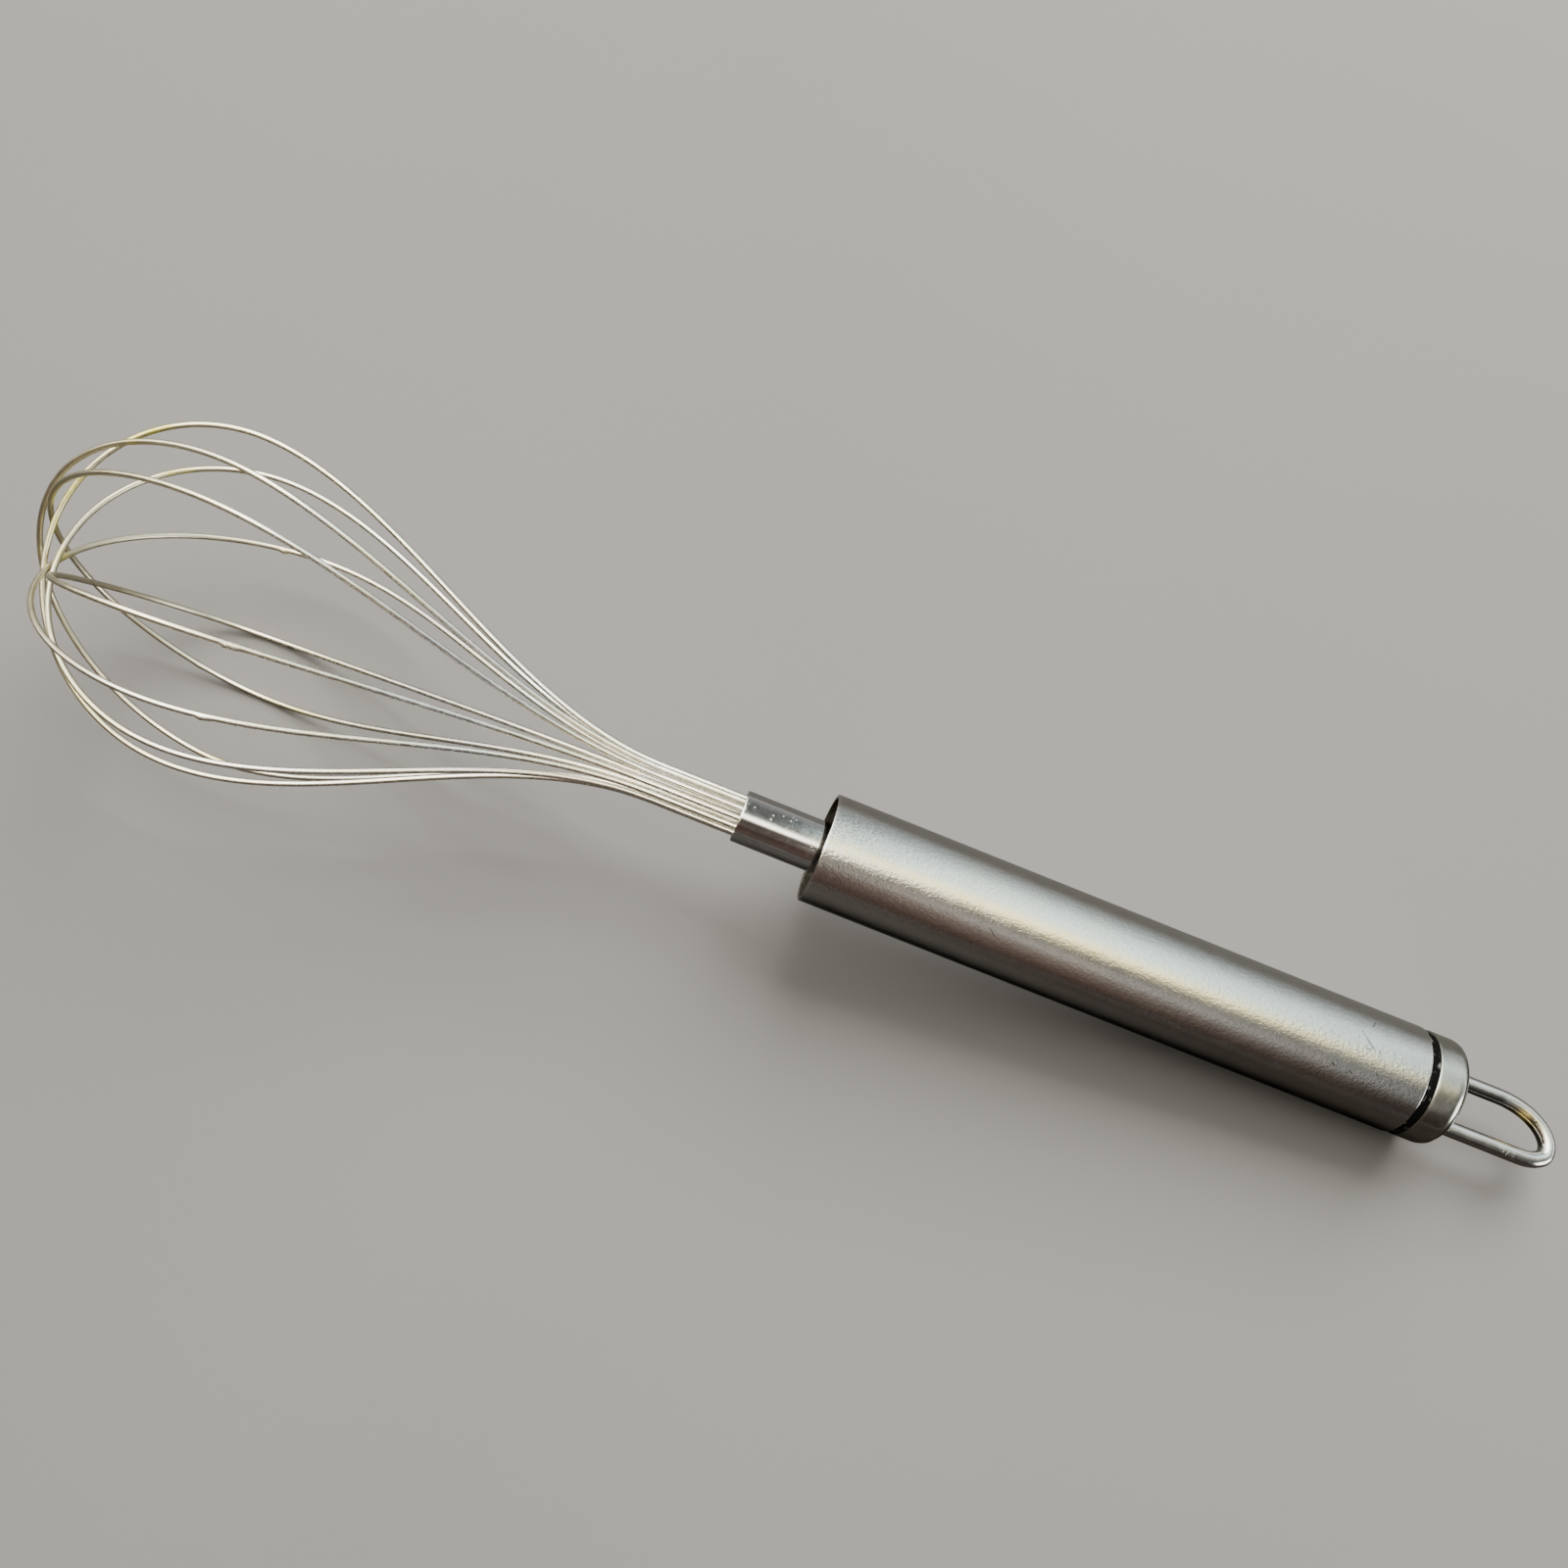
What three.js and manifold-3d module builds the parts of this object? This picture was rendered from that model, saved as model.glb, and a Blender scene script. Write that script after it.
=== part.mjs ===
// Balloon whisk: six steel wire loops bundled in a ferrule, an open-mouthed tubular handle, and a
// plastic end plug that carries a steel cap and a bent wire hanging loop. The whisk lies on its side,
// on the two lowest wires of the balloon and on the lower edge of its end cap.
//
// Millimetres, +Z up, +X from the balloon towards the hanging loop. The pieces are built along the
// whisk's own axis, with x = 0 at the mouth of the handle, and the whole is then tilted onto its rest.

import * as THREE from 'three';
import { mergeVertices } from 'three/addons/utils/BufferGeometryUtils.js';
import Module from 'manifold-3d';

const wasm = await Module();
wasm.setup();

// ---- Driving dimensions --------------------------------------------------------------------------

const GAP = 0.3; // clearance between neighbouring pieces

const WIRE_RADIUS = 0.58;
const RING_RADIUS = 3.65; // circle on which the twelve straight wire ends stand in the ferrule
const RING_PHASE = 22; // azimuth of the first wire end
const WIRE_TAIL_END = 18; // the straight ends reach this far into the handle
const NECK_END = -34; // where the wires leave the straight neck and start to flare
const FLARE_START_PULL = 32.5; // how far the flare holds the direction of the neck
const FLARE_END_PULL = 28.5; // how far it holds the direction of the belly

// One entry for each loop. A leg is [azimuth in degrees, distance from the axis, depth] of its widest
// point, where depth is measured from the handle's mouth towards the tip. The tip is [depth, y, z].
// The loops were bent by hand: they stack up at the tip, where each one crosses the other five.
const WIRE_LOOPS = [
  { legs: [[19, 33.5, 125], [200, 31.5, 125]], tip: [157.5, 2.5, 2] },
  { legs: [[52, 31.5, 122.5], [224, 32.5, 122]], tip: [161.2, 2.5, -1.5] },
  { legs: [[73, 32, 119.5], [259, 32, 122]], tip: [159.4, 4.5, -0.5] },
  { legs: [[115, 32, 127.5], [281, 32.2, 125]], tip: [151, -4.5, -1.5] },
  { legs: [[142, 31.5, 120], [317, 32, 117]], tip: [155.2, -2.5, -1.5] },
  { legs: [[165, 31, 122.5], [348, 32, 121.5]], tip: [154.8, 3.5, -0.5] },
];

const HANDLE_RADIUS = 11.1;
const HANDLE_WALL = 0.8;
const HANDLE_LENGTH = 125.7;
const HANDLE_RIM_CHAMFER = 0.25;

const FERRULE_RADIUS = 5.25;
const FERRULE_START = -16.6; // it stands this far out of the handle's mouth
const FERRULE_END = 20;
const FERRULE_CHAMFER = 0.3;

const PIN_START = -14.5;
const BUSH_START = 3; // recessed inside the handle's mouth
const BUSH_END = 19;

const PLUG_STEM_LENGTH = 22;
const PLUG_COLLAR_RADIUS = 10.7; // the black ring that shows between the handle and the cap
const PLUG_COLLAR_LENGTH = 1.8;
const CAP_RADIUS = 11;
const CAP_LENGTH = 7.2;
const CAP_WALL = 0.8;
const CAP_SHOULDER = 2.6; // radius of the rounding between the cap's side and its end

const LOOP_WIRE_RADIUS = 1.65;
const LOOP_HALF_WIDTH = 5.1; // half the distance between its two legs
const LOOP_OFFSET = -1; // the legs stand this far off the axis, across the loop
const LOOP_AZIMUTH = -4; // direction of the first leg about the axis
const LOOP_LEG_DEPTH = 14; // how far the legs reach into the handle
const LOOP_TOP = 24.1; // from the cap's end face to the middle of the wire at the loop's top
const LOOP_TOP_OFFSET = -2.1; // the top of the bend leans towards the second leg
const LOOP_FIRST_LEG = 12; // straight length of each leg outside the cap
const LOOP_SECOND_LEG = 18.6;

const ROUND_SIDES = 40;

// ---- Materials -----------------------------------------------------------------------------------

const material = (name, color, roughness, metalness) =>
  new THREE.MeshStandardMaterial({ name, color, roughness, metalness });

const satinSteel = material('satin_steel', 0xc9c8c4, 0.38, 1);
const brightWire = material('bright_wire', 0xd2cfc6, 0.28, 1);
const ferruleSteel = material('ferrule_steel', 0xbfb9b4, 0.25, 1);
const capSteel = material('cap_steel', 0xb9b8ac, 0.35, 1);
const blackPlastic = material('black_plastic', 0x101010, 0.3, 0);
const innerPlastic = material('inner_plastic', 0x2a2a2a, 0.6, 0);
const plainSteel = material('plain_steel', 0xa8a8a8, 0.45, 1);

// ---- Geometry helpers ----------------------------------------------------------------------------

const radians = THREE.MathUtils.degToRad;

// A point at a distance from the axis, in the direction of an azimuth: 0 is +Y and 90 is +Z.
function aboutAxis(x, radius, azimuth) {
  const angle = radians(azimuth);
  return new THREE.Vector3(x, radius * Math.cos(angle), radius * Math.sin(angle));
}

// A solid of revolution about the X axis, from a closed outline of [x, radius] points.
function turned(outline, sides = ROUND_SIDES) {
  const points = outline.map(([x, radius]) => new THREE.Vector2(radius, x));
  const geometry = new THREE.LatheGeometry(points, sides);
  geometry.rotateZ(-Math.PI / 2);
  return geometry;
}

// The outline of a plain or bored cylinder with its outer corners chamfered.
function cylinderOutline(start, end, radius, bore = 0, chamfer = 0) {
  const outline = [[start, bore]];
  outline.push([start, radius - chamfer]);
  if (chamfer > 0) outline.push([start + chamfer, radius], [end - chamfer, radius]);
  outline.push([end, radius - chamfer]);
  outline.push([end, bore]);
  if (bore > 0) outline.push([start, bore]);
  return outline;
}

// A quarter circle of outline points, from one angle to another, in degrees.
function arcOutline(x, radius, size, from, to, steps) {
  return Array.from({ length: steps + 1 }, (_, i) => {
    const angle = radians(THREE.MathUtils.lerp(from, to, i / steps));
    return [x + size * Math.cos(angle), radius + size * Math.sin(angle)];
  });
}

// Round wire swept along a path.
function wire(path, radius, sides, steps) {
  const corners = Array.from({ length: sides }, (_, i) => {
    const angle = (2 * Math.PI * i) / sides;
    return new THREE.Vector2(radius * Math.cos(angle), radius * Math.sin(angle));
  });
  return new THREE.ExtrudeGeometry(new THREE.Shape(corners), { extrudePath: path, steps });
}

function pathOf(...curves) {
  const path = new THREE.CurvePath();
  curves.forEach((curve) => path.add(curve));
  return path;
}

function toManifold(geometry) {
  const bare = geometry.clone();
  bare.deleteAttribute('normal');
  bare.deleteAttribute('uv');
  const merged = mergeVertices(bare, 1e-4);
  return new wasm.Manifold(
    new wasm.Mesh({
      numProp: 3,
      vertProperties: new Float32Array(merged.attributes.position.array),
      triVerts: new Uint32Array(merged.index.array),
    }),
  );
}

function cut(geometry, ...tools) {
  const solid = tools.reduce((rest, tool) => rest.subtract(toManifold(tool)), toManifold(geometry));
  const mesh = solid.getMesh();
  const result = new THREE.BufferGeometry();
  result.setAttribute('position', new THREE.BufferAttribute(mesh.vertProperties, 3));
  result.setIndex(new THREE.BufferAttribute(mesh.triVerts, 1));
  result.computeVertexNormals();
  return result;
}

function piece(name, geometry, pieceMaterial) {
  const mesh = new THREE.Mesh(geometry, pieceMaterial);
  mesh.name = name;
  return mesh;
}

// ---- Wire loops ----------------------------------------------------------------------------------

// Half an ellipse through three points: it leaves the first and reaches the last in the direction
// that leads from the middle of those two to the tip.
class HeadArc extends THREE.Curve {
  constructor(first, tip, last) {
    super();
    this.centre = first.clone().add(last).multiplyScalar(0.5);
    this.across = first.clone().sub(this.centre);
    this.outward = tip.clone().sub(this.centre);
  }

  getPoint(t, target = new THREE.Vector3()) {
    return target
      .copy(this.centre)
      .addScaledVector(this.across, Math.cos(Math.PI * t))
      .addScaledVector(this.outward, Math.sin(Math.PI * t));
  }
}

// The path of one loop: up out of the ferrule, flaring to the belly, over the tip and back.
function wireLoopPath({ legs, tip }, slot) {
  const tipPoint = new THREE.Vector3(-tip[0], tip[1], tip[2]);
  const belly = legs.map(([azimuth, radius, depth]) => aboutAxis(-depth, radius, azimuth));
  const head = new HeadArc(belly[0], tipPoint, belly[1]);
  const outward = head.outward.clone().normalize();
  const sides = belly.map((widest, leg) => {
    const azimuth = RING_PHASE + 30 * (slot + 6 * leg);
    const neck = aboutAxis(NECK_END, RING_RADIUS, azimuth);
    return {
      tail: aboutAxis(WIRE_TAIL_END, RING_RADIUS, azimuth),
      neck,
      neckPull: neck.clone().setX(NECK_END - FLARE_START_PULL),
      bellyPull: widest.clone().addScaledVector(outward, -FLARE_END_PULL),
      widest,
    };
  });
  const [up, down] = sides;
  return pathOf(
    new THREE.LineCurve3(up.tail, up.neck),
    new THREE.CubicBezierCurve3(up.neck, up.neckPull, up.bellyPull, up.widest),
    head,
    new THREE.CubicBezierCurve3(down.widest, down.bellyPull, down.neckPull, down.neck),
    new THREE.LineCurve3(down.neck, down.tail),
  );
}

const WIRE_SIDES = 8;
const WIRE_STEPS = 76;

function wireLoops() {
  return WIRE_LOOPS.map((loop, slot) =>
    piece(
      `wire_loop_${slot + 1}`,
      wire(wireLoopPath(loop, slot), WIRE_RADIUS, WIRE_SIDES, WIRE_STEPS),
      brightWire,
    ),
  );
}

// ---- Ferrule, its centre pin and the bush that holds it in the handle ------------------------------

function ferrule() {
  const bore = RING_RADIUS + WIRE_RADIUS + GAP;
  const outline = cylinderOutline(FERRULE_START, FERRULE_END, FERRULE_RADIUS, bore, FERRULE_CHAMFER);
  return piece('ferrule', turned(outline), ferruleSteel);
}

function centrePin() {
  const radius = RING_RADIUS - WIRE_RADIUS - GAP;
  const outline = cylinderOutline(PIN_START, WIRE_TAIL_END, radius);
  return piece('centre_pin', turned(outline, 24), plainSteel);
}

function handleBush() {
  const radius = HANDLE_RADIUS - HANDLE_WALL - GAP;
  const outline = cylinderOutline(BUSH_START, BUSH_END, radius, FERRULE_RADIUS + GAP);
  return piece('handle_bush', turned(outline), innerPlastic);
}

// ---- Handle --------------------------------------------------------------------------------------

function handleTube() {
  const bore = HANDLE_RADIUS - HANDLE_WALL;
  const outline = cylinderOutline(0, HANDLE_LENGTH, HANDLE_RADIUS, bore, HANDLE_RIM_CHAMFER);
  return piece('handle_tube', turned(outline), satinSteel);
}

// ---- End plug, cap and hanging loop --------------------------------------------------------------

const COLLAR_START = HANDLE_LENGTH + GAP;
const CAP_START = HANDLE_LENGTH + PLUG_COLLAR_LENGTH;
const CAP_END = CAP_START + CAP_LENGTH;

// Two straight cylinders along the legs of the hanging loop, used to bore the pieces they pass.
function legBores(start, end) {
  const radius = LOOP_WIRE_RADIUS + GAP;
  return [1, -1].map((side) => {
    const bore = turned(cylinderOutline(start, end, radius), 16);
    const centre = aboutAxis(0, side * LOOP_HALF_WIDTH + LOOP_OFFSET, LOOP_AZIMUTH);
    return bore.translate(centre.x, centre.y, centre.z);
  });
}

// The plug's stem sits inside the tube, its collar shows as a ring and its head fills the cap.
function endPlug() {
  const stem = HANDLE_RADIUS - HANDLE_WALL - GAP;
  const head = CAP_RADIUS - CAP_WALL - GAP;
  const headEnd = CAP_END - CAP_WALL - GAP;
  const shoulder = CAP_SHOULDER - CAP_WALL;
  const stemStart = HANDLE_LENGTH - PLUG_STEM_LENGTH;
  const body = turned([
    [stemStart, 0],
    [stemStart, stem],
    [COLLAR_START, stem],
    [COLLAR_START, PLUG_COLLAR_RADIUS],
    [CAP_START - GAP, PLUG_COLLAR_RADIUS],
    [CAP_START - GAP, head],
    ...arcOutline(headEnd - shoulder, head - shoulder, shoulder, 90, 0, 4),
    [headEnd, 0],
  ]);
  const bores = legBores(HANDLE_LENGTH - LOOP_LEG_DEPTH - GAP, CAP_END);
  return piece('end_plug', cut(body, ...bores), blackPlastic);
}

function endCap() {
  const bore = CAP_RADIUS - CAP_WALL;
  const innerShoulder = CAP_SHOULDER - CAP_WALL;
  const shell = turned([
    [CAP_START, bore],
    [CAP_START, CAP_RADIUS],
    ...arcOutline(CAP_END - CAP_SHOULDER, CAP_RADIUS - CAP_SHOULDER, CAP_SHOULDER, 90, 0, 6),
    [CAP_END, 0],
    [CAP_END - CAP_WALL, 0],
    ...arcOutline(CAP_END - CAP_SHOULDER, bore - innerShoulder, innerShoulder, 0, 90, 5),
    [CAP_START, bore],
  ]);
  return piece('end_cap', cut(shell, ...legBores(CAP_START, CAP_END + 1)), capSteel);
}

// A quarter of an ellipse between two points, as a curve that starts along one direction.
function quarterBend(start, corner, end) {
  const roundness = 0.5523; // the pull that makes a cubic curve follow an ellipse
  const startPull = start.clone().lerp(corner, roundness);
  const endPull = end.clone().lerp(corner, roundness);
  return new THREE.CubicBezierCurve3(start, startPull, endPull, end);
}

function hangingLoop() {
  const at = (x, across) => aboutAxis(x, across + LOOP_OFFSET, LOOP_AZIMUTH);
  const inside = HANDLE_LENGTH - LOOP_LEG_DEPTH;
  const top = CAP_END + LOOP_TOP;
  const firstBend = at(CAP_END + LOOP_FIRST_LEG, LOOP_HALF_WIDTH);
  const secondBend = at(CAP_END + LOOP_SECOND_LEG, -LOOP_HALF_WIDTH);
  const crown = at(top, LOOP_TOP_OFFSET);
  const path = pathOf(
    new THREE.LineCurve3(at(inside, LOOP_HALF_WIDTH), firstBend),
    quarterBend(firstBend, at(top, LOOP_HALF_WIDTH), crown),
    quarterBend(crown, at(top, -LOOP_HALF_WIDTH), secondBend),
    new THREE.LineCurve3(secondBend, at(inside, -LOOP_HALF_WIDTH)),
  );
  return piece('hanging_loop', wire(path, LOOP_WIRE_RADIUS, 12, 44), capSteel);
}

// ---- The whisk on its rest -----------------------------------------------------------------------

const whisk = new THREE.Group();
whisk.add(
  ...wireLoops(),
  ferrule(),
  centrePin(),
  handleBush(),
  handleTube(),
  endPlug(),
  endCap(),
  hangingLoop(),
);

// The axis falls from the height of the belly to the height of the cap. It is turned until the lowest
// point of the balloon and the lowest point of the cap are level.
const BALLOON_TO_CAP = 250; // rough distance between the two places where the whisk rests
const SETTLING_TURNS = 4;

function lowestPoint(names) {
  whisk.updateMatrixWorld(true);
  const heights = names.map((name) => {
    const box = new THREE.Box3().setFromObject(whisk.getObjectByName(name), true);
    return box.min.z;
  });
  return Math.min(...heights);
}

for (let turn = 0; turn < SETTLING_TURNS; turn += 1) {
  const drop = lowestPoint(['end_cap']) - lowestPoint(['wire_loop_3', 'wire_loop_4']);
  whisk.rotation.y += drop / BALLOON_TO_CAP;
}
whisk.updateMatrixWorld(true);

// The origin is under the middle of the whisk, on the surface it lies on.
const bounds = new THREE.Box3().setFromObject(whisk, true);
const middle = bounds.getCenter(new THREE.Vector3());
whisk.position.set(-middle.x, -middle.y, -bounds.min.z);

const object = new THREE.Group();
object.add(whisk);

export default object;
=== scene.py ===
import math

import bmesh
import bpy
import numpy as np
from mathutils import Matrix, Vector


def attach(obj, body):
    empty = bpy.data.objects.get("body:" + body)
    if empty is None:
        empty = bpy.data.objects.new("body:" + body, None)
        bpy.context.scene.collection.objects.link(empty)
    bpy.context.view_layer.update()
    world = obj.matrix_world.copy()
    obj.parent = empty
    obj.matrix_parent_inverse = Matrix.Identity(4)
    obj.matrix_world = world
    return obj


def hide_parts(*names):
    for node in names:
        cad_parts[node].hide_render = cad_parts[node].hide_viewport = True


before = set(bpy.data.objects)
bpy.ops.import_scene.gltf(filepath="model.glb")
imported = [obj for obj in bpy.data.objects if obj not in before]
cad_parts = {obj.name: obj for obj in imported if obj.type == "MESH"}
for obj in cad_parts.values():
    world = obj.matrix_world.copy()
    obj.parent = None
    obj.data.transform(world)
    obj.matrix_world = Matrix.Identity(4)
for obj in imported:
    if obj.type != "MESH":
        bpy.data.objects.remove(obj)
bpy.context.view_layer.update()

MM = 0.001
WELD_DISTANCE = 0.002 * MM

# ---------------------------------------------------------------- the whisk's own axes
# The handle's axis is +X and its mouth is the origin. Y is level, and +Y is the row's +Y side.
# Lengths in the builders below are millimetres in these axes, as measured on the CAD nodes.


def welded(node):
    """The CAD node's distinct points and, for each, the points it shares an edge with."""
    bm = bmesh.new()
    bm.from_mesh(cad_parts[node].data)
    bmesh.ops.remove_doubles(bm, verts=bm.verts, dist=WELD_DISTANCE)
    bm.verts.index_update()
    points = np.array([v.co for v in bm.verts])
    neighbours = [[e.other_vert(v).index for e in v.link_edges] for v in bm.verts]
    bm.free()
    return points, neighbours


def whisk_axes():
    """The matrix from the whisk's own axes to the row frame."""
    points = welded("handle_tube")[0]
    middle = points.mean(axis=0)
    along = np.linalg.svd(points - middle, full_matrices=False)[2][0]
    along = along * np.sign(along[0])
    across = np.array([0.0, 1.0, 0.0])
    across -= along * (across @ along)
    across /= np.linalg.norm(across)
    mouth = middle + along * ((points - middle) @ along).min()
    matrix = Matrix.Identity(4)
    for column, axis in enumerate((along, across, np.cross(along, across), mouth)):
        for row in range(3):
            matrix[row][column] = axis[row]
    return matrix


WHISK = whisk_axes()
TO_WHISK = np.array(WHISK.inverted())


def in_whisk(points):
    """Row-frame points in metres as whisk points in millimetres."""
    return (points @ TO_WHISK[:3, :3].T + TO_WHISK[:3, 3]) / MM


def stations(node):
    """The node's sorted axial stations, and the smallest and largest radius at each."""
    points = in_whisk(welded(node)[0])
    radius = np.hypot(points[:, 1], points[:, 2])
    rounded = points[:, 0].round(2)
    found = sorted(set(rounded))
    return [(x, radius[rounded == x].min(), radius[rounded == x].max()) for x in found]


FIRST_LEG_SIDE = np.array([0.0, 1.0, 0.12])  # the way from a bent wire's second leg to its first
LEG_END_SLACK = 0.05  # how far the points of a leg's end face may be out of one plane


def centre_line(node, end_sign):
    """The middles of a bent wire's rings, from its first leg's end to the other's, and its radius.

    end_sign is +1 if both legs end at the far +X end of the node, and -1 at the -X end.
    """
    raw, neighbours = welded(node)
    points = in_whisk(raw)
    reach = points[:, 0] * end_sign
    last = set(np.flatnonzero(reach > reach.max() - LEG_END_SLACK))
    ring = {min(last)}
    while True:
        grown = ring | {n for i in ring for n in neighbours[i] if n in last}
        if grown == ring:
            break
        ring = grown
    seen, rings = set(ring), [sorted(ring)]
    while True:
        following = {n for i in rings[-1] for n in neighbours[i]} - seen
        if not following:
            break
        seen |= following
        rings.append(sorted(following))
    middles = np.array([points[r].mean(axis=0) for r in rings])
    if (middles[0] - middles[-1]) @ FIRST_LEG_SIDE < 0:
        middles, rings = middles[::-1], rings[::-1]
    radii = [np.linalg.norm(points[r] - m, axis=1).mean() for r, m in zip(rings, middles)]
    return middles, float(np.median(radii))


# ---------------------------------------------------------------- shape builders


SPAN_SAMPLES = 12  # fine points between two of a path's own points
RIM_LAP = 0.15  # flat ring of faces beside a rounded rim, which keeps its shading crisp
ON_AXIS = 1e-6  # a turned outline's smaller radii are a single point
SHARP_DEGREES = 40
CUTTER_SIDES = 48


def refined(path, spacing):
    """The path as an evenly spaced smooth curve, and the length along it at each point.

    The curve is a centripetal Catmull-Rom spline through the path's points.
    """
    ends = [2 * path[0] - path[1]], [2 * path[-1] - path[-2]]
    p = np.concatenate([ends[0], path, ends[1]])
    fine = []
    for a, b, c, d in zip(p, p[1:], p[2:], p[3:]):
        ta = 0.0
        tb = ta + np.linalg.norm(b - a) ** 0.5
        tc = tb + np.linalg.norm(c - b) ** 0.5
        td = tc + np.linalg.norm(d - c) ** 0.5
        for t in np.linspace(tb, tc, SPAN_SAMPLES, endpoint=False):
            ab = a * (tb - t) / (tb - ta) + b * (t - ta) / (tb - ta)
            bc = b * (tc - t) / (tc - tb) + c * (t - tb) / (tc - tb)
            cd = c * (td - t) / (td - tc) + d * (t - tc) / (td - tc)
            abc = ab * (tc - t) / (tc - ta) + bc * (t - ta) / (tc - ta)
            bcd = bc * (td - t) / (td - tb) + cd * (t - tb) / (td - tb)
            fine.append(abc * (tc - t) / (tc - tb) + bcd * (t - tb) / (tc - tb))
    fine = np.array(fine + [path[-1]])
    length = np.concatenate([[0], np.cumsum(np.linalg.norm(np.diff(fine, axis=0), axis=1))])
    count = int(round(length[-1] / spacing)) + 1
    even = np.linspace(0, length[-1], count)
    return np.stack([np.interp(even, length, fine[:, k]) for k in range(3)], axis=1), even


def normals_along(path):
    """Two unit normals at each point of the path, turning as little as possible."""
    tangents = np.gradient(path, axis=0)
    tangents /= np.linalg.norm(tangents, axis=1)[:, None]
    side = np.cross(tangents[0], [0.0, 0.0, 1.0])
    if np.linalg.norm(side) < 0.1:
        side = np.cross(tangents[0], [0.0, 1.0, 0.0])
    normals = []
    for tangent in tangents:
        side = side - tangent * (side @ tangent)
        side = side / np.linalg.norm(side)
        normals.append(side)
    normals = np.array(normals)
    return normals, np.cross(tangents, normals)


def tube_along(path, radius, sides, swell=None):
    """A closed round bar along the path; swell(outward) adds to the radius at each point."""
    first, second = normals_along(path)
    angles = np.linspace(0, 2 * math.pi, sides, endpoint=False)
    outward = (
        first[:, None] * np.cos(angles)[None, :, None]
        + second[:, None] * np.sin(angles)[None, :, None]
    )
    reach = np.full(outward.shape[:2], radius)
    if swell:
        reach = reach + swell(outward)
    vertices = (path[:, None] + outward * reach[..., None]).reshape(-1, 3)
    rings = len(path)
    faces = [tuple(range(sides))[::-1], tuple(range((rings - 1) * sides, rings * sides))]
    for i in range(rings - 1):
        for j in range(sides):
            k = (j + 1) % sides
            faces.append((i * sides + j, i * sides + k, (i + 1) * sides + k, (i + 1) * sides + j))
    return vertices, faces


def turned(outline, sides):
    """A closed solid turned about X from a closed outline of (x, radius) points.

    The outline runs clockwise seen with x to the right and the radius up.
    """
    angles = np.linspace(0, 2 * math.pi, sides, endpoint=False)
    vertices, rings = [], []
    for x, radius in outline:
        if radius < ON_AXIS:
            rings.append([len(vertices)] * sides)
            vertices.append((x, 0.0, 0.0))
        else:
            rings.append([len(vertices) + j for j in range(sides)])
            vertices += [(x, radius * math.cos(a), radius * math.sin(a)) for a in angles]
    faces = []
    for near, far in zip(rings, rings[1:] + rings[:1]):
        for j in range(sides):
            k = (j + 1) % sides
            corners = list(dict.fromkeys((near[j], far[j], far[k], near[k])))
            if len(corners) > 2:
                faces.append(tuple(corners))
    return np.array(vertices), faces


def corner(x, radius, turn_from, turn_to, size, steps=6):
    """Points of a rounded outline corner about the centre (x, radius), angles in degrees."""
    angles = np.radians(np.linspace(turn_from, turn_to, steps + 1))
    return [(x + size * math.cos(a), radius + size * math.sin(a)) for a in angles]


def straight(start, end, spacing):
    """Evenly spaced points between two outline points, with both ends left out."""
    count = max(1, int(round(math.dist(start, end) / spacing)))
    return [
        (start[0] + (end[0] - start[0]) * i / count, start[1] + (end[1] - start[1]) * i / count)
        for i in range(1, count)
    ]


def sleeve(start, end, inner, outer, bevel, spacing=1.5):
    """The outline of a round sleeve with rounded rims."""
    top_start, top_end = (start + bevel, outer), (end - bevel, outer)
    low_start, low_end = (start + bevel, inner), (end - bevel, inner)
    outline = corner(start + bevel, outer - bevel, 180, 90, bevel)
    outline += [(start + bevel + RIM_LAP, outer)]
    outline += straight(top_start, top_end, spacing)
    outline += [(end - bevel - RIM_LAP, outer)]
    outline += corner(end - bevel, outer - bevel, 90, 0, bevel)
    outline += corner(end - bevel, inner + bevel, 0, -90, bevel)
    outline += [(end - bevel - RIM_LAP, inner)]
    outline += straight(low_end, low_start, spacing)
    outline += [(start + bevel + RIM_LAP, inner)]
    outline += corner(start + bevel, inner + bevel, -90, -180, bevel)
    return outline


def solid_bar(start, end, radius, bevel, spacing=1.5):
    """The outline of a solid round bar with rounded rims."""
    outline = [(start, 0.0), (start, radius - bevel - RIM_LAP)]
    outline += corner(start + bevel, radius - bevel, 180, 90, bevel)
    outline += [(start + bevel + RIM_LAP, radius)]
    outline += straight((start + bevel, radius), (end - bevel, radius), spacing)
    outline += [(end - bevel - RIM_LAP, radius)]
    outline += corner(end - bevel, radius - bevel, 90, 0, bevel)
    outline += [(end, radius - bevel - RIM_LAP), (end, 0.0)]
    return outline


def added(name, data):
    """A new object in the scene that holds the data."""
    obj = bpy.data.objects.new(name, data)
    bpy.context.scene.collection.objects.link(obj)
    return obj


def mesh_of(name, vertices, faces):
    """A mesh in metres, its faces pointing out, from vertices in millimetres."""
    mesh = bpy.data.meshes.new(name)
    mesh.from_pydata([tuple(v) for v in np.asarray(vertices) * MM], [], faces)
    bm = bmesh.new()
    bm.from_mesh(mesh)
    bmesh.ops.recalc_face_normals(bm, faces=bm.faces)
    bm.to_mesh(mesh)
    bm.free()
    return mesh


def placed(name, mesh, material, replaced):
    """Adds the mesh as a piece that rides with the whisk and stands for its CAD node."""
    mesh.materials.clear()
    mesh.materials.append(material)
    mesh.shade_smooth()
    mesh.set_sharp_from_angle(angle=math.radians(SHARP_DEGREES))
    mesh.transform(WHISK)
    obj = added(name, mesh)
    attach(obj, "root")
    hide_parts(*replaced)


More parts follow.
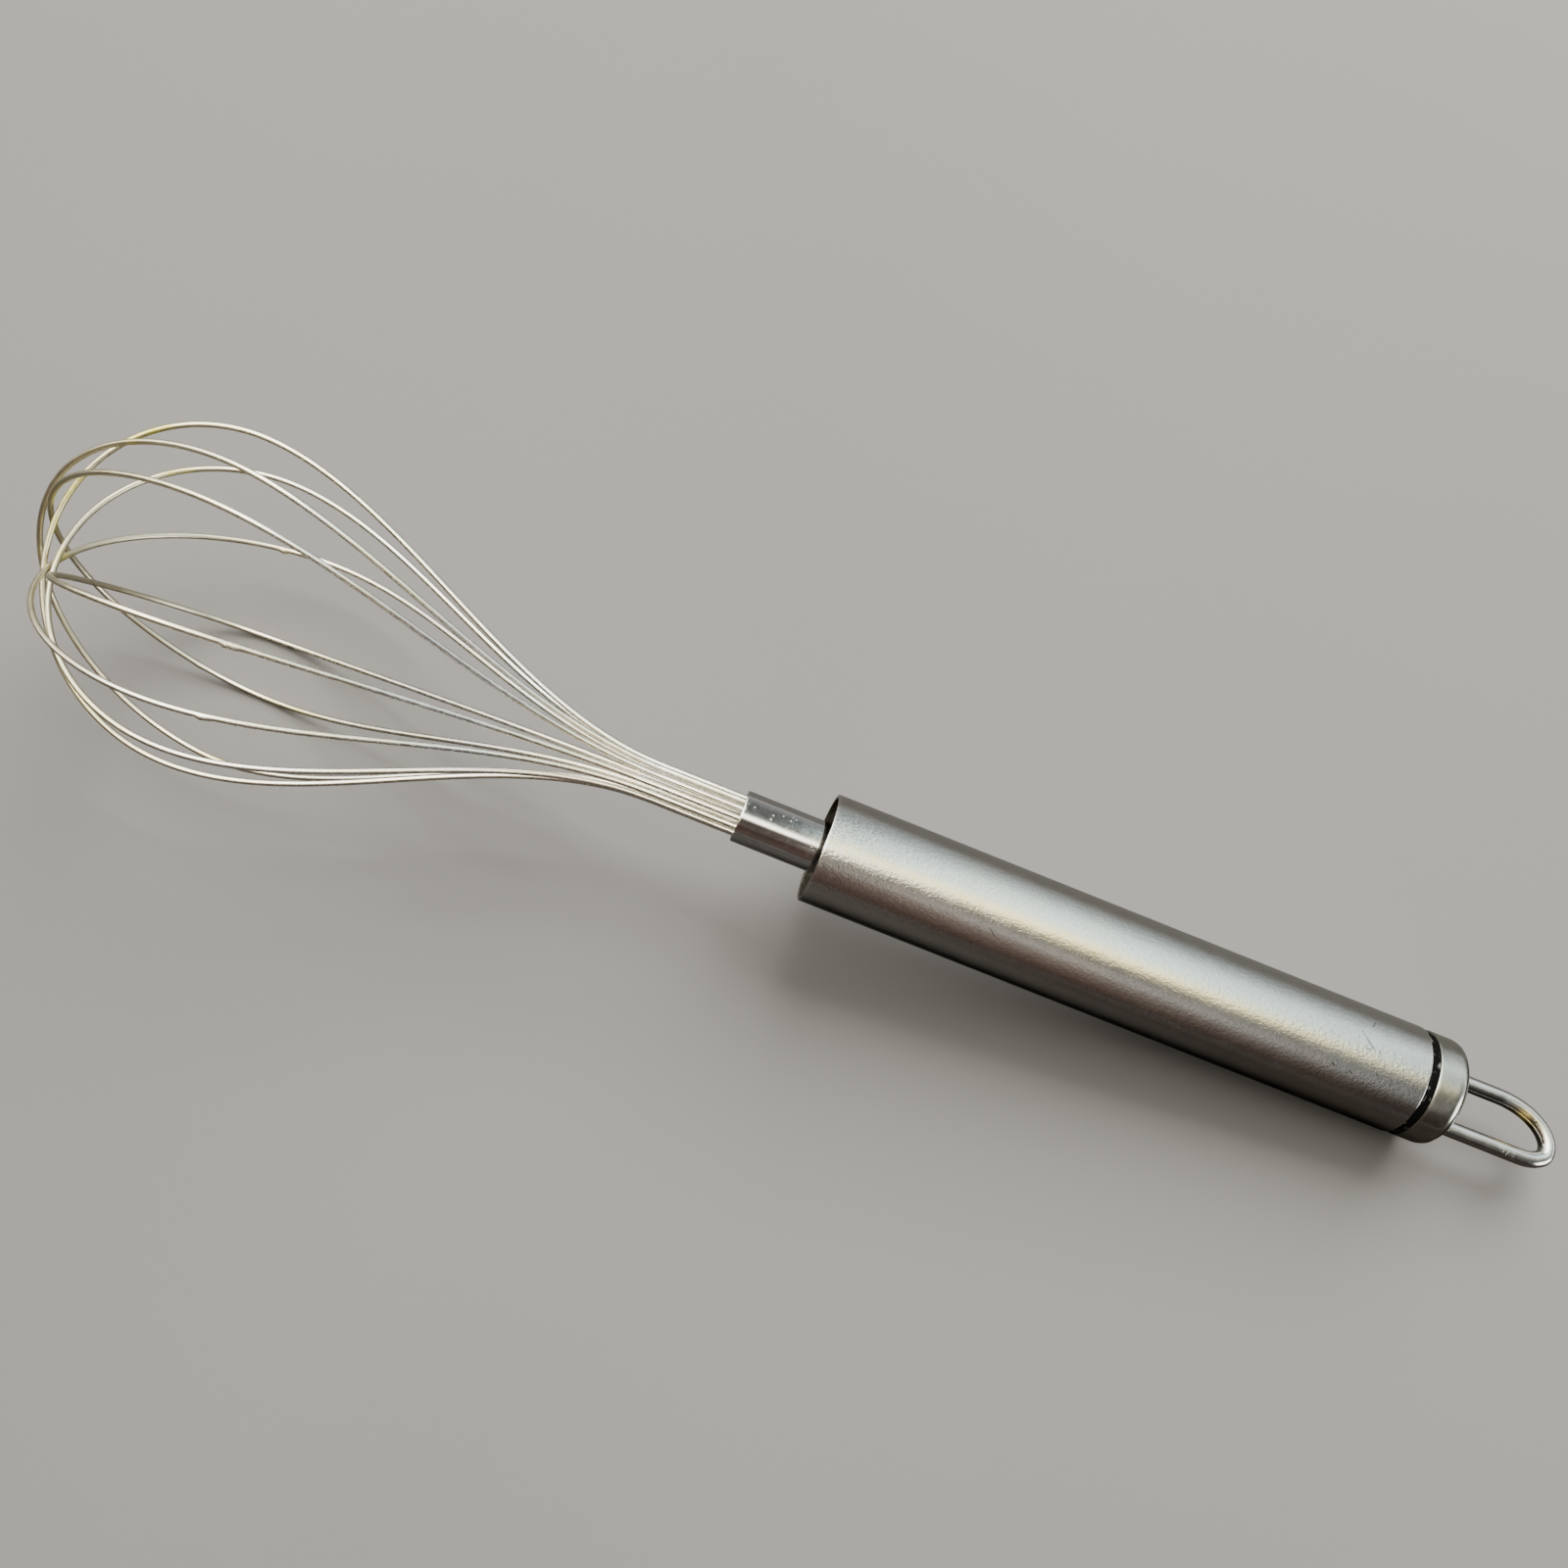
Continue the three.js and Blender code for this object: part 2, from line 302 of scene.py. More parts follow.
def with_bores(name, mesh, lines, radius):
    """The mesh with round bores cut along the given lines."""
    holder = added(name + "_blank", mesh)
    cutters = []
    for start, end in lines:
        bore = tube_along(np.linspace(start, end, 3), radius, CUTTER_SIDES)
        cutter = added(name + "_cutter", mesh_of(name + "_cutter", *bore))
        cutters.append(cutter)
        modifier = holder.modifiers.new("bore", "BOOLEAN")
        modifier.operation = "DIFFERENCE"
        modifier.solver = "EXACT"
        modifier.object = cutter
    bpy.context.view_layer.update()
    evaluated = holder.evaluated_get(bpy.context.evaluated_depsgraph_get())
    made = bpy.data.meshes.new_from_object(evaluated)
    made.name = name
    for obj in [holder, *cutters]:
        old = obj.data
        bpy.data.objects.remove(obj)
        bpy.data.meshes.remove(old)
    return made


# ---------------------------------------------------------------- material helpers


class Nodes:
    """Short-hand for building one node tree. Inputs may be values or other nodes' outputs."""

    def __init__(self, tree):
        self.tree = tree
        tree.nodes.clear()

    def add(self, kind, inputs=None, output=0, **settings):
        node = self.tree.nodes.new("ShaderNode" + kind)
        for key, value in settings.items():
            setattr(node, key, value)
        for key, value in (inputs or {}).items():
            if isinstance(value, bpy.types.NodeSocket):
                self.tree.links.new(value, node.inputs[key])
            else:
                node.inputs[key].default_value = value
        return node.outputs[output]

    def math(self, operation, a, b=0.0, c=0.0, clamp=False):
        return self.add("Math", {0: a, 1: b, 2: c}, operation=operation, use_clamp=clamp)

    def plus(self, start, *terms):
        """start with each term's value, times its weight, added to it."""
        for value, weight in terms:
            start = self.math("ADD", start, self.math("MULTIPLY", value, weight))
        return start

    def part(self, vector, index):
        """One part of a place: 0 along the whisk, 1 across it towards +Y, 2 upwards."""
        return self.add("SeparateXYZ", {0: vector}, output=index)

    def scaled(self, vector, scale):
        scale = scale if isinstance(scale, (tuple, list)) else (scale,) * 3
        return self.add("VectorMath", {0: vector, 1: scale}, operation="MULTIPLY")

    def noise(self, vector, scale, detail=3.0, roughness=0.5):
        """Noise from 0 to 1 at so many features a millimetre along each axis."""
        inputs = {"Vector": self.scaled(vector, scale), "Scale": 1.0}
        inputs.update({"Detail": detail, "Roughness": roughness})
        return self.add("TexNoise", inputs, noise_dimensions="3D")

    def step(self, value, low, high, to_low=0.0, to_high=1.0):
        """Eased from to_low, at low and below it, to to_high, at high and above it."""
        inputs = {0: value, 1: low, 2: high, 3: to_low, 4: to_high}
        return self.add("MapRange", inputs, interpolation_type="SMOOTHSTEP")

    def line(self, value, low, high, to_low=0.0, to_high=1.0):
        """The same as step, but straight."""
        inputs = {0: value, 1: low, 2: high, 3: to_low, 4: to_high}
        return self.add("MapRange", inputs, interpolation_type="LINEAR", clamp=True)

    def mix(self, factor, a, b):
        """Colour a where the factor is 0, and b where it is 1."""
        inputs = {0: factor, 6: a, 7: b}
        return self.add("Mix", inputs, output=2, data_type="RGBA", blend_type="MIX")

    def tinted(self, base, colour, amount, strength):
        """The base colour with some of the other one, by amount times strength."""
        return self.mix(self.math("MULTIPLY", amount, strength), base, colour)

    def off_axis(self, vector):
        """Distance from the whisk's axis, in millimetres."""
        flat = self.scaled(vector, (0.0, 1.0, 1.0))
        return self.add("VectorMath", {0: flat}, operation="LENGTH", output=1)

    def handle_axis(self):
        """The handle's direction, along which its brushing spreads a reflection."""
        x, y, z = WHISK.col[0][:3]
        return self.add("CombineXYZ", {0: x, 1: y, 2: z})

    def attribute(self, name):
        """The number that the mesh holds under this name at each point."""
        return self.add("Attribute", output=2, attribute_name=name, attribute_type="GEOMETRY")

    def hair_scratches(self, vector, scale, thinness, sparse):
        """Thin curved scratch lines, 1 on a line and 0 off it."""
        wander = self.noise(vector, scale, 1.0)
        away = self.math("ABSOLUTE", self.math("SUBTRACT", wander, 0.5))
        line = self.step(away, 0.0, thinness, 1.0, 0.0)
        patch = self.step(self.noise(vector, 0.11, 1.0), sparse, sparse + 0.06)
        return self.math("MULTIPLY", line, patch)

    def pits(self, vector, scale, size, pick_scale, picked):
        """1 on small round pits, in a few of the cells that are so many to a millimetre."""
        cell = self.add("TexVoronoi", {"Vector": self.scaled(vector, scale), "Scale": 1.0})
        pick = self.noise(vector, pick_scale, 0.0)
        return self.math("MULTIPLY", self.step(cell, *size, 1.0, 0.0), self.step(pick, *picked))

    def segment(self, vector, start, end, width):
        """1 on the straight scratch from start to end, falling to 0 at its width."""
        reach = tuple(e - s for s, e in zip(start, end))
        length = sum(r * r for r in reach)
        offset = self.add("VectorMath", {0: vector, 1: start}, operation="SUBTRACT")
        dot = self.add("VectorMath", {0: offset, 1: reach}, operation="DOT_PRODUCT", output=1)
        share = self.math("DIVIDE", dot, length, clamp=True)
        foot = self.add("VectorMath", {0: reach, "Scale": share}, operation="SCALE")
        gap = self.add("VectorMath", {0: offset, 1: foot}, operation="DISTANCE", output=1)
        return self.step(gap, 0.0, width, 1.0, 0.0)

    def metal(self, base, rough, height, distance, **more):
        """Ends the tree as bare metal. more is further principled inputs."""
        looks = {"Base Color": base, "Metallic": 1.0, "Roughness": rough}
        self.finish(looks | more, height, distance)

    def finish(self, inputs, height=None, distance=0.01):
        """The surface: principled inputs, and a height map so many millimetres deep."""
        shader = self.tree.nodes.new("ShaderNodeBsdfPrincipled")
        for key, value in inputs.items():
            if isinstance(value, bpy.types.NodeSocket):
                self.tree.links.new(value, shader.inputs[key])
            else:
                shader.inputs[key].default_value = value
        if height is not None:
            relief = {"Height": height, "Distance": distance * MM, "Strength": 1.0}
            self.tree.links.new(self.add("Bump", relief), shader.inputs["Normal"])
        output = self.tree.nodes.new("ShaderNodeOutputMaterial")
        self.tree.links.new(shader.outputs[0], output.inputs["Surface"])


def material(name):
    """A material, its nodes, and the place on the whisk in millimetres along its own axes."""
    made = bpy.data.materials.new(name)
    made.use_nodes = True
    nodes = Nodes(made.node_tree)
    place = nodes.add("TexCoord", output=3)
    mouth = tuple(WHISK.translation)
    offset = nodes.add("VectorMath", {0: place, 1: mouth}, operation="SUBTRACT")
    parts = {}
    for k in range(3):
        axis = tuple(v / MM for v in WHISK.col[k][:3])
        inputs = {0: offset, 1: axis}
        parts[k] = nodes.add("VectorMath", inputs, operation="DOT_PRODUCT", output=1)
    return made, nodes, nodes.add("CombineXYZ", parts)


def rgb(r, g, b):
    """An opaque colour."""
    return (r, g, b, 1.0)


# ---------------------------------------------------------------- materials


# Scratches on the handle, each from one place to another and so many millimetres wide. A place
# is (millimetres from the mouth, degrees round from +Y over the top).
HANDLE_SCRATCHES = [
    ((110.5, 72.5), (112.2, 81), 0.26),
    ((111.9, 80), (113.4, 86.5), 0.42),
    ((112.0, 89), (112.9, 88.5), 0.28),
    ((114.6, 87), (114.8, 88.5), 0.34),
    ((112.7, 62.5), (113.3, 56.5), 0.28),
    ((106.7, 115), (107.0, 116.5), 0.30),
    ((110.3, 116), (110.9, 118), 0.18),
    ((115.3, 109), (115.8, 111), 0.18),
    ((35.0, 116), (36.5, 122), 0.09),
    ((62.0, 70), (66.0, 67), 0.08),
    ((20.0, 55), (24.5, 57), 0.08),
    ((80.0, -80), (86.0, -70), 0.10),
    ((48.0, 200), (52.0, 212), 0.10),
]


def satin_steel(end, inner, outer):
    """The handle: brushed round its girth, with fine scuffs, a few handling scratches, painted
    highlights on its rims and painted shade on its inner wall.
    """
    made, n, p = material("satin_steel")
    brush_fine = n.noise(p, (9.0, 0.5, 0.5), 3.0, 0.6)
    brush_wide = n.noise(p, (1.6, 0.16, 0.16), 3.0, 0.6)
    drawn = n.noise(p, (0.03, 1.4, 1.4), 2.0)
    mottle = n.noise(p, 0.32, 5.0, 0.62)
    grain = n.noise(p, (1.2, 1.6, 1.6), 3.0, 0.65)
    sand = n.noise(p, (2.2, 2.6, 2.6), 2.0, 0.6)
    cloud = n.noise(p, 0.06, 2.0)
    scuff = n.hair_scratches(p, (0.35, 0.9, 0.9), 0.012, 0.56)
    along = n.part(p, 0)
    near_rim = n.step(along, 0.0, 0.9, 1.0, 0.0)
    rim = n.math("MAXIMUM", near_rim, n.step(along, end - 0.8, end))

    def on_surface(x, degrees):
        a = math.radians(degrees)
        return (x, outer * math.cos(a), outer * math.sin(a))

    mark = 0.0
    for first, last, width in HANDLE_SCRATCHES:
        segment = n.segment(p, on_surface(*first), on_surface(*last), width)
        mark = n.math("MAXIMUM", mark, segment)
    pit = n.pits(p, 0.55, (0.03, 0.10), 0.4, (0.57, 0.60))
    wall = n.step(n.off_axis(p), inner + 0.1, inner + 0.5, 1.0, 0.0)
    # painted shade: the inner wall is darkened, least on its -Y part, which catches light through
    # the mouth
    painted_wall_shade = n.math("MULTIPLY", wall, n.step(n.part(p, 1), -11.0, -4.0, 0.25, 0.95))
    base = n.mix(n.line(mottle, 0.3, 0.7), rgb(0.55, 0.56, 0.56), rgb(0.61, 0.615, 0.60))
    base = n.mix(n.step(cloud, 0.45, 0.62, 0.0, 0.35), base, rgb(0.59, 0.565, 0.52))
    base = n.tinted(base, rgb(0.20, 0.19, 0.17), pit, 0.45)
    base = n.tinted(base, rgb(0.17, 0.17, 0.165), mark, 0.8)
    # painted highlight: both rims are tinted much lighter, to show as thin bright lines
    base = n.tinted(base, rgb(0.84, 0.83, 0.80), rim, 0.7)
    base = n.mix(painted_wall_shade, base, rgb(0.075, 0.066, 0.045))
    base = n.mix(n.line(sand, 0.30, 0.70, 0.26, 0.0), base, rgb(0.30, 0.30, 0.29))
    rough = n.plus(
        n.line(brush_wide, 0.3, 0.7, 0.150, 0.180),
        (n.line(mottle, 0.3, 0.7, -0.02, 0.025), 1.0),
        (n.line(brush_fine, 0.3, 0.7, -0.01, 0.02), 1.0),
        (n.step(along, 0.0, 30.0, 0.035, 0.0), -1.0),
        (rim, -0.08),
        (scuff, 0.05),
        (wall, 0.16),
    )
    height = n.plus(
        0.0,
        (brush_fine, 0.14),
        (brush_wide, 0.16),
        (drawn, 0.22),
        (mottle, 0.9),
        (grain, 4.2),
        (sand, 2.0),
        (scuff, -0.30),
        (mark, -1.6),
        (pit, -0.3),
    )
    n.metal(base, rough, height, 0.012, Anisotropic=0.15, Tangent=n.handle_axis())
    return made


def ferrule_steel(start):
    """The ferrule: half-polished tube with fine lengthwise lines, small nicks, and painted shade
    where it goes into the handle.
    """
    made, n, p = material("ferrule_steel")
    lines = n.noise(p, (0.12, 5.0, 5.0), 3.0, 0.6)
    mottle = n.noise(p, 0.7, 4.0, 0.6)
    scuff = n.hair_scratches(p, (0.9, 1.6, 1.6), 0.02, 0.53)
    nick = n.pits(p, 0.95, (0.04, 0.15), 0.5, (0.50, 0.56))
    along = n.part(p, 0)
    rim = n.step(along, start, start + 0.7, 1.0, 0.0)
    painted_shade_in_handle = n.step(along, -1.2, 1.5)
    base = n.mix(n.line(mottle, 0.3, 0.7), rgb(0.56, 0.565, 0.57), rgb(0.67, 0.67, 0.67))
    base = n.tinted(base, rgb(0.25, 0.25, 0.25), nick, 0.4)
    base = n.tinted(base, rgb(0.80, 0.78, 0.74), rim, 0.5)
    # painted shade: darker where the ferrule goes into the handle's mouth
    base = n.tinted(base, rgb(0.16, 0.14, 0.12), painted_shade_in_handle, 0.35)
    rough = n.line(mottle, 0.3, 0.7, 0.06, 0.095)
    rough = n.plus(rough, (n.line(lines, 0.3, 0.7, -0.015, 0.02), 1.0), (scuff, 0.12))
    height = n.plus(0.0, (lines, 0.35), (mottle, 0.35), (nick, -1.8), (scuff, -0.3))
    n.metal(base, rough, height, 0.014)
    return made


def bright_wire():
    """The balloon's drawn wire: bright and satin, tea-coloured in use towards the tip."""
    made, n, p = material("bright_wire")
    stain_and_glint = n.attribute("stain_and_glint")
    wear_and_shade = n.attribute("wear_and_shade")
    lengthwise = n.add("CombineXYZ", {0: n.attribute("along"), 1: n.attribute("around"), 2: 0.0})
    drawn = n.noise(lengthwise, (0.25, 9.0, 1.0), 2.0)
    patchy = n.noise(p, 0.5, 4.0, 0.65)
    fine = n.noise(p, 2.4, 3.0, 0.6)
    cool = n.step(n.noise(p, 0.035, 1.0), 0.50, 0.62, 0.0, 0.7)
    broken = n.math("MULTIPLY", stain_and_glint, n.line(patchy, 0.35, 0.62, 0.35, 1.25))
    tint = n.math("ADD", broken, n.line(fine, 0.45, 0.75, 0.0, 0.10), clamp=True)
    base = n.mix(n.line(patchy, 0.3, 0.7), rgb(0.82, 0.79, 0.68), rgb(0.91, 0.88, 0.80))
    base = n.mix(cool, base, rgb(0.78, 0.80, 0.85))
    base = n.tinted(base, rgb(0.64, 0.58, 0.41), wear_and_shade, 0.8)
    base = n.mix(tint, base, rgb(0.60, 0.55, 0.15))
    rough = n.plus(n.line(patchy, 0.3, 0.7, 0.20, 0.32), (wear_and_shade, 0.10), (tint, 0.08))
    height = n.plus(0.0, (drawn, 0.2), (fine, 0.25), (patchy, 0.6))
    n.metal(base, rough, height, 0.010)
    return made


def plain_steel():
    """The hidden pin between the wires, dull and darkened by what collects there."""
    made, n, p = material("plain_steel")
    mottle = n.noise(p, 1.2, 4.0, 0.6)
    grime = n.noise(p, 0.5, 3.0)
    base = n.mix(n.line(mottle, 0.3, 0.7), rgb(0.30, 0.28, 0.25), rgb(0.42, 0.40, 0.37))
    base = n.mix(n.step(grime, 0.45, 0.6, 0.0, 0.6), base, rgb(0.14, 0.11, 0.07))
    n.metal(base, n.line(mottle, 0.3, 0.7, 0.35, 0.55), mottle, 0.02)
    return made


def inner_plastic():
    """The moulded bush inside the handle's mouth."""
    made, n, p = material("inner_plastic")
    mottle = n.noise(p, 1.5, 4.0, 0.6)
    rings = n.noise(p, (3.0, 0.4, 0.4), 2.0)
    base = n.mix(n.line(mottle, 0.3, 0.7), rgb(0.020, 0.019, 0.017), rgb(0.045, 0.042, 0.036))
    rough = n.line(mottle, 0.3, 0.7, 0.45, 0.65)
    n.finish({"Base Color": base, "Roughness": rough}, n.plus(mottle, (rings, 0.5)), 0.03)
    return made


def black_plastic():
    """The end plug's collar: moulded black, with pale dust and specks worn bright."""
    made, n, p = material("black_plastic")
    mottle = n.noise(p, 1.3, 4.0, 0.6)
    dust = n.noise(p, (1.4, 0.55, 0.55), 3.0, 0.7)
    speck = n.step(dust, 0.60, 0.64)
    base = n.mix(n.line(mottle, 0.3, 0.7), rgb(0.0015, 0.0015, 0.0015), rgb(0.005, 0.005, 0.005))
    base = n.tinted(base, rgb(0.30, 0.30, 0.28), speck, 0.8)
    rough = n.plus(n.line(mottle, 0.3, 0.7, 0.50, 0.62), (speck, 0.3))
    looks = {"Base Color": base, "Roughness": rough, "Specular IOR Level": 0.04}
    n.finish(looks, n.plus(mottle, (speck, 0.6)), 0.02)
    return made


def cap_steel(end, rim_radius):
    """The pressed end cap: duller and greener than the handle, with a painted highlight on its
    edge, which is also smoother.
    """
    made, n, p = material("cap_steel")
    mottle = n.noise(p, 0.55, 5.0, 0.62)
    spun = n.noise(p, (4.5, 0.5, 0.5), 3.0, 0.6)
    cloud = n.noise(p, 0.16, 2.0)
    scuff = n.hair_scratches(p, 0.8, 0.016, 0.52)
    off_rim = n.math("ABSOLUTE", n.math("SUBTRACT", n.off_axis(p), rim_radius))
    near_end = n.step(n.part(p, 0), end - 1.2, end - 0.2)
    # painted highlight: a ring on the shoulder near the face is painted near white, and made
    # smoother
    painted_glint = n.math("MULTIPLY", near_end, n.step(off_rim, 0.0, 1.0, 1.0, 0.0))
    painted_glint = n.math("MULTIPLY", painted_glint, n.line(mottle, 0.35, 0.55, 0.5, 1.0))
    base = n.mix(n.line(mottle, 0.3, 0.7), rgb(0.41, 0.42, 0.39), rgb(0.50, 0.51, 0.475))
    base = n.mix(n.step(cloud, 0.45, 0.6, 0.0, 0.3), base, rgb(0.43, 0.41, 0.355))
    base = n.mix(painted_glint, base, rgb(0.86, 0.86, 0.84))
    rough = n.plus(n.line(mottle, 0.3, 0.7, 0.17, 0.25), (scuff, 0.08), (painted_glint, -0.14))
    height = n.plus(0.0, (spun, 0.4), (mottle, 0.9), (scuff, -0.5))
    n.metal(base, rough, height, 0.016)
    return made


def loop_steel():
    """The hanging loop's thick wire: drawn, with painted shade inside its bend and along one leg,
    and a painted glint in the bend.
    """
    made, n, p = material("loop_steel")
    wear_and_shade = n.attribute("wear_and_shade")
    painted_glint = n.math("MULTIPLY", n.math("MULTIPLY", wear_and_shade, 1.5), n.attribute("stain_and_glint"), clamp=True)
    lengthwise = n.add("CombineXYZ", {0: n.attribute("along"), 1: n.attribute("around"), 2: 0.0})
    drawn = n.noise(lengthwise, (0.15, 5.0, 1.0), 3.0, 0.6)
    mottle = n.noise(p, 0.6, 4.0, 0.6)
    scuff = n.hair_scratches(p, 1.1, 0.02, 0.50)
    # painted shade: dark grey, olive-tinted in the bend, laid on by the wear_and_shade value
    in_bend = n.step(n.part(p, 0), 147.0, 151.5)
    shade_colour = n.mix(in_bend, rgb(0.10, 0.10, 0.097), rgb(0.13, 0.110, 0.035))
    painted_shade = n.math("MULTIPLY", wear_and_shade, n.line(mottle, 0.3, 0.6, 0.70, 0.95))
    base = n.mix(n.line(mottle, 0.3, 0.7), rgb(0.58, 0.585, 0.58), rgb(0.66, 0.66, 0.65))
    base = n.mix(painted_shade, base, shade_colour)
    # painted glint: a pale yellow spot inside the bend
    base = n.mix(painted_glint, base, rgb(1.0, 0.86, 0.36))
    rough = n.plus(n.line(mottle, 0.3, 0.7, 0.12, 0.19), (scuff, 0.10))
    height = n.plus(0.0, (drawn, 0.6), (mottle, 0.5), (scuff, -0.4))
    n.metal(base, rough, height, 0.014)
    return made


# ---------------------------------------------------------------- the pieces


def bell(x, middle, width):
    """A smooth bump, 1 at the middle and gone at about twice the width from it."""
    return np.exp(-(((x - middle) / width) ** 2))


def point_values(mesh, name, values):
    """Gives the mesh one number at each point, which materials read by name."""
    attribute = mesh.attributes.new(name, "FLOAT", "POINT")
    attribute.data.foreach_set("value", np.asarray(values, np.float32).ravel())


BEAD_SIDE = np.array([0.30, -0.90, -0.30]) / math.sqrt(0.99)  # a unit vector
BEAD_HUG = 1.5  # how closely a bead keeps to its side of the wire


def bent_bar(name, node, end_sign, sides, spacing, look, beads, stains_and_glints, wear_and_shade):
    """A round wire along its CAD node's centre line, and that line.

    beads are (place, length, height) of small lumps on its BEAD_SIDE, stains_and_glints are
    (place, length, strength) of the wires' stains and the loop's painted glint, and
    wear_and_shade(path, outward) is how dull and dark it is at each point: wear on the balloon's
    wires, painted shade on the loop. A place is in millimetres along the wire from its first end.
    """
    middles, ring_radius = centre_line(node, end_sign)
    path, length = refined(middles, spacing)

    def swell(outward):
        extra = np.zeros(outward.shape[:2])
        towards = np.clip(outward @ BEAD_SIDE, 0, 1)
        for place, size, lift in beads:
            extra += lift * bell(length, place, size)[:, None] * towards**BEAD_HUG
        return extra

    vertices, faces = tube_along(path, ring_radius, sides, swell)
    mesh = mesh_of(name, vertices, faces)
    outward = (vertices.reshape(len(path), sides, 3) - path[:, None]) / ring_radius
    stain_and_glint = np.zeros(len(length))
    for place, size, strength in stains_and_glints:
        stain_and_glint += strength * bell(length, place, size)
    angles = np.linspace(0, 2 * math.pi, sides, endpoint=False)
    point_values(mesh, "stain_and_glint", np.repeat(stain_and_glint, sides))
    point_values(mesh, "wear_and_shade", np.broadcast_to(wear_and_shade(path, outward), (len(path), sides)))
    point_values(mesh, "along", np.repeat(length, sides))
    point_values(mesh, "around", np.tile(np.cos(angles) + np.sin(2 * angles), len(length)))
    placed(name, mesh, look, [node])
    return path


# The balloon's wires. Beads and stains are by loop.
WEAR_START, WEAR_LENGTH, WEAR_EASE = 92.0, 55.0, 1.3
WIRE_SIDES, WIRE_SPACING = 20, 0.5
WIRE_BEADS = {
    3: [(244.0, 0.8, 0.16)],
    4: [(254.5, 0.55, 0.42), (256.0, 0.9, 0.32)],
    5: [(148.5, 0.6, 0.40), (257.0, 0.5, 0.34), (258.0, 0.8, 0.24)],
}
WIRE_STAINS = {
    1: [(171, 4.5, 0.9), (176, 2.5, 0.5), (190, 3.5, 1.0), (198, 2.5, 0.8), (234, 12.0, 0.35)],
    2: [(168, 1.8, 0.6), (206, 4.0, 0.3), (262, 4.0, 0.5)],
    3: [(188, 4.0, 0.5), (200, 3.0, 0.5), (266, 7.0, 0.5)],
    5: [(195, 2.5, 0.7), (148, 1.5, 0.4)],
    6: [(169, 4.0, 0.8), (157, 2.2, 0.45), (200, 2.2, 0.5), (234, 12.0, 0.35)],
}


def wire_wear(path, outward):
    """The balloon's wires are dullest at the tip and bright along their straight run."""
    beyond = -path[:, 0, None] - WEAR_START
    return np.clip(beyond / WEAR_LENGTH, 0, 1) ** WEAR_EASE


wire_look = bright_wire()
for number in range(1, 7):
    bent_bar(
        f"whisk_wire_{number}",
        f"wire_loop_{number}",
        end_sign=+1,
        sides=WIRE_SIDES,
        spacing=WIRE_SPACING,
        look=wire_look,
        beads=WIRE_BEADS.get(number, []),
        stains_and_glints=WIRE_STAINS.get(number, []),
        wear_and_shade=wire_wear,
    )

# The handle tube.
tube = stations("handle_tube")
HANDLE_START, HANDLE_END = tube[0][0], tube[-1][0]
HANDLE_OUTER = max(s[2] for s in tube)
HANDLE_INNER = min(s[1] for s in tube)
RIM = 0.22
handle_outline = sleeve(HANDLE_START, HANDLE_END, HANDLE_INNER, HANDLE_OUTER, RIM)
handle_mesh = mesh_of("handle", *turned(handle_outline, 192))
handle_look = satin_steel(HANDLE_END, HANDLE_INNER, HANDLE_OUTER)
placed("handle", handle_mesh, handle_look, ["handle_tube"])

# The ferrule, the pin in it and the bush round it.
ferrule = stations("ferrule")
FERRULE_START, FERRULE_END = ferrule[0][0], ferrule[-1][0]
FERRULE_OUTER = max(s[2] for s in ferrule)
FERRULE_INNER = min(s[1] for s in ferrule)
ferrule_outline = sleeve(FERRULE_START, FERRULE_END, FERRULE_INNER, FERRULE_OUTER, RIM, 0.8)
ferrule_mesh = mesh_of("ferrule_sleeve", *turned(ferrule_outline, 128))
ferrule_look = ferrule_steel(FERRULE_START)
placed("ferrule_sleeve", ferrule_mesh, ferrule_look, ["ferrule"])

PIN_EDGE, BUSH_EDGE = 0.4, 0.25
pin = stations("centre_pin")
pin_outline = solid_bar(pin[0][0], pin[-1][0], max(s[2] for s in pin), PIN_EDGE)
pin_mesh = mesh_of("ferrule_pin", *turned(pin_outline, 64))
placed("ferrule_pin", pin_mesh, plain_steel(), ["centre_pin"])

bush = stations("handle_bush")
bush_inner, bush_outer = min(s[1] for s in bush), max(s[2] for s in bush)
bush_outline = sleeve(bush[0][0], bush[-1][0], bush_inner, bush_outer, BUSH_EDGE)
bush_mesh = mesh_of("mouth_bush", *turned(bush_outline, 96))
placed("mouth_bush", bush_mesh, inner_plastic(), ["handle_bush"])

# The hanging loop. The painted glint's place and length are along the wire.
LOOP_EYE = np.array([147.0, 0.0, 0.0])
LOOP_SHADE_SPOT = np.array([154.0, 1.5, 0.0])
SHADE_SPOT_REACH = 4.5
LOOP_GLINT_AT, GLINT_LENGTH = 41.0, 1.3
LEG_SIDE, LEG_SHADE = 3.0, 0.8
LOOP_SIDES, LOOP_SPACING = 40, 0.4


def loop_painted_shade(path, outward):
    """Painted shade: the loop is darkened inside its bend and on the side of its +Y leg that faces
    the other leg.
    """
    away = np.linalg.norm(path - LOOP_SHADE_SPOT, axis=1)
    inward = LOOP_EYE - path
    inward[:, 0] = np.minimum(inward[:, 0], 0.0)
    inward /= np.linalg.norm(inward, axis=1)[:, None]
    towards = (outward * inward[:, None]).sum(axis=2)
    in_bend = bell(away, 0.0, SHADE_SPOT_REACH)[:, None] * np.clip(towards / 0.5, 0, 1)
    near_leg = np.clip(path[:, 1] / LEG_SIDE, 0, 1)[:, None]
    on_leg = near_leg * np.clip((towards - 0.15) / 0.35, 0, 1)
    return np.maximum(in_bend, LEG_SHADE * on_leg)


loop_path = bent_bar(
    "hanging_loop_wire",
    "hanging_loop",
    end_sign=-1,
    sides=LOOP_SIDES,
    spacing=LOOP_SPACING,
    look=loop_steel(),
    beads=[],
    stains_and_glints=[(LOOP_GLINT_AT, GLINT_LENGTH, 1.0)],
    wear_and_shade=loop_painted_shade,
)

